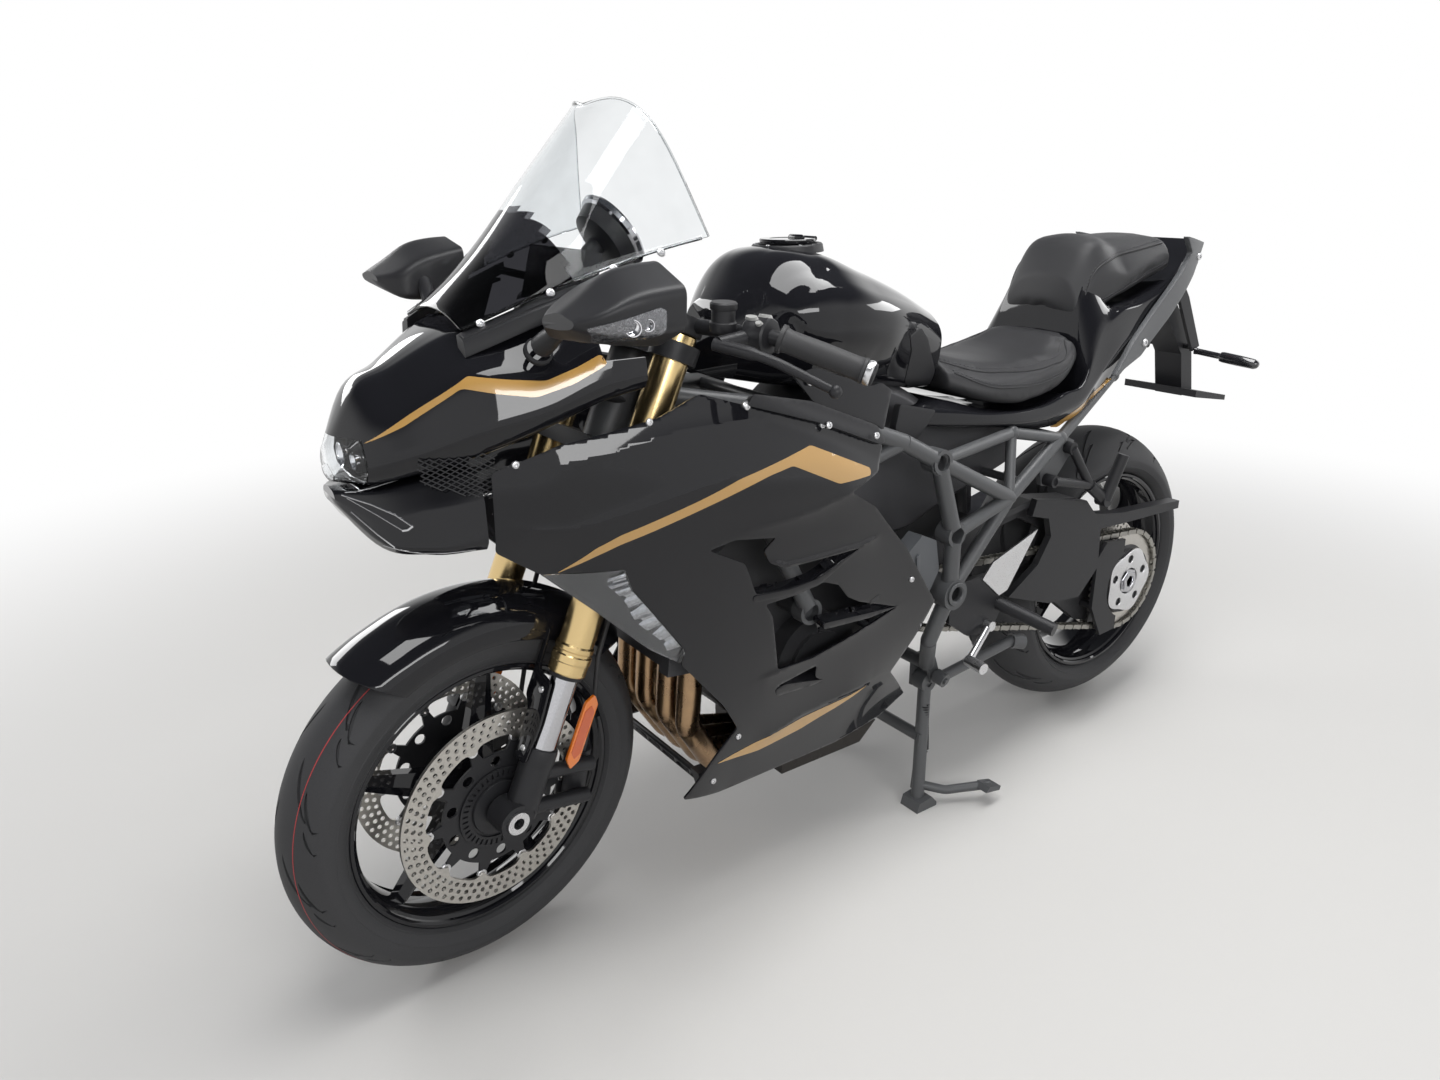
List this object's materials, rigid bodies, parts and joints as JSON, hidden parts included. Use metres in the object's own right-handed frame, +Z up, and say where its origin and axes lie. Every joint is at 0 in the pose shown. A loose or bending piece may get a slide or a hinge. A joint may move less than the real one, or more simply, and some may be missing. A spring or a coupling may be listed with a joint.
{
  "type": "sport touring motorcycle",
  "caption": "Fully faired sport touring motorcycle on its centre stand, with steering, spinning wheels, folding stands and a hinged filler cap.",
  "frame": {"origin": "floor under the middle of the machine: bottom centre of its bounding box", "axes": "nose towards -Y, the rider's left is +X, +Z up"},
  "size_m": [0.7962, 2.1726, 1.2841],
  "materials": {
    "gloss_black": "deep gloss black",
    "satin_black": "fine-grained satin black",
    "frame_grey": "satin charcoal paint",
    "engine_black": "matt black cast cases",
    "cast_grey": "grey cover paint",
    "exhaust_bronze": "heat-tinted steel",
    "silencer_metal": "dark brushed steel",
    "seat_cover": "grained vinyl",
    "rail_grey": "satin dark grey",
    "lamp_glass": "clear lens",
    "red_lens": "red lens",
    "smoke_lens": "smoked lens",
    "screen": "clear screen",
    "fork_gold": "champagne anodised",
    "chrome_steel": "hard chrome",
    "disc_steel": "ground steel",
    "silver_alloy": "silver alloy",
    "chain_steel": "plain chain steel",
    "tyre_rubber": "new tread",
    "hose_rubber": "rubber",
    "radiator_alloy": "black painted fins",
    "amber_lens": "amber reflector"
  },
  "bodies": {
    "root": {"frame": "frame_grey", "engine": "engine_black", "sprocket_cover": "cast_grey", "radiator": "radiator_alloy", "headers": "exhaust_bronze", "silencer": "silencer_metal", "fuel_tank": "gloss_black", "rider_seat": "seat_cover", "passenger_seat": "seat_cover", "tail_cowl": "gloss_black", "grab_rails": "rail_grey", "tail_lamp": "red_lens", "plate_holder": "satin_black", "rear_signals": "smoke_lens", "nose_cowl": "gloss_black", "headlamp": "lamp_glass", "chin": "gloss_black", "windscreen": "screen", "mirrors": "satin_black", "fairing_left": "gloss_black", "fairing_right": "gloss_black", "cockpit": "satin_black", "swingarm": "frame_grey", "swingarm_cover": "satin_black", "hub_guard": "satin_black", "chain_guard": "satin_black", "rear_shock": "chrome_steel", "rear_caliper": "engine_black", "chain": "chain_steel", "nose_grilles": "satin_black", "side_covers": "satin_black", "belly_brace": "satin_black", "foot_pegs": "satin_black", "cornering_lamps": "lamp_glass", "foot_controls": "silver_alloy"},
    "steering": {"fork_lugs": "satin_black", "stanchions": "chrome_steel", "fork_tubes": "fork_gold", "yokes": "engine_black", "front_axle": "silver_alloy", "front_calipers": "engine_black", "front_fender": "gloss_black", "reflectors": "amber_lens", "brake_hoses": "hose_rubber", "handlebars": "satin_black", "hand_controls": "satin_black"},
    "front_wheel": {"front_tyre": "tyre_rubber", "front_wheel": "gloss_black", "front_discs": "disc_steel"},
    "rear_wheel": {"rear_tyre": "tyre_rubber", "rear_wheel": "gloss_black", "rear_disc": "disc_steel", "rear_sprocket": "silver_alloy"},
    "centre_stand": {"centre_stand": "frame_grey"},
    "side_stand": {"side_stand": "frame_grey"},
    "fuel_cap": {"fuel_cap": "gloss_black"}
  },
  "joints": [
    {"name": "steering", "type": "hinge", "parent": "root", "child": "steering", "pos_m": [0, -0.51441, 0.83491], "axis": [0, 0.4067, 0.9135], "range_deg": [-38.3, 21.7]},
    {"name": "front_wheel_spin", "type": "hinge", "parent": "steering", "child": "front_wheel", "pos_m": [0.00459, -0.7872, 0.29958], "axis": [0.9895, 0.1319, -0.0587], "continuous": true},
    {"name": "rear_wheel_spin", "type": "hinge", "parent": "root", "child": "rear_wheel", "pos_m": [0, 0.6925, 0.332], "axis": [1, 0, 0], "continuous": true},
    {"name": "centre_stand", "type": "hinge", "parent": "root", "child": "centre_stand", "pos_m": [0, 0.103, 0.249], "axis": [1, 0, 0], "range_deg": [0, 72]},
    {"name": "side_stand", "type": "hinge", "parent": "root", "child": "side_stand", "pos_m": [0.145, 0.108, 0.268], "axis": [0.972, 0.0972, -0.2138], "range_deg": [-80, 0]},
    {"name": "fuel_cap", "type": "hinge", "parent": "root", "child": "fuel_cap", "pos_m": [0, -0.121, 1.091], "axis": [1, 0, 0], "range_deg": [-100, 0]}
  ]
}
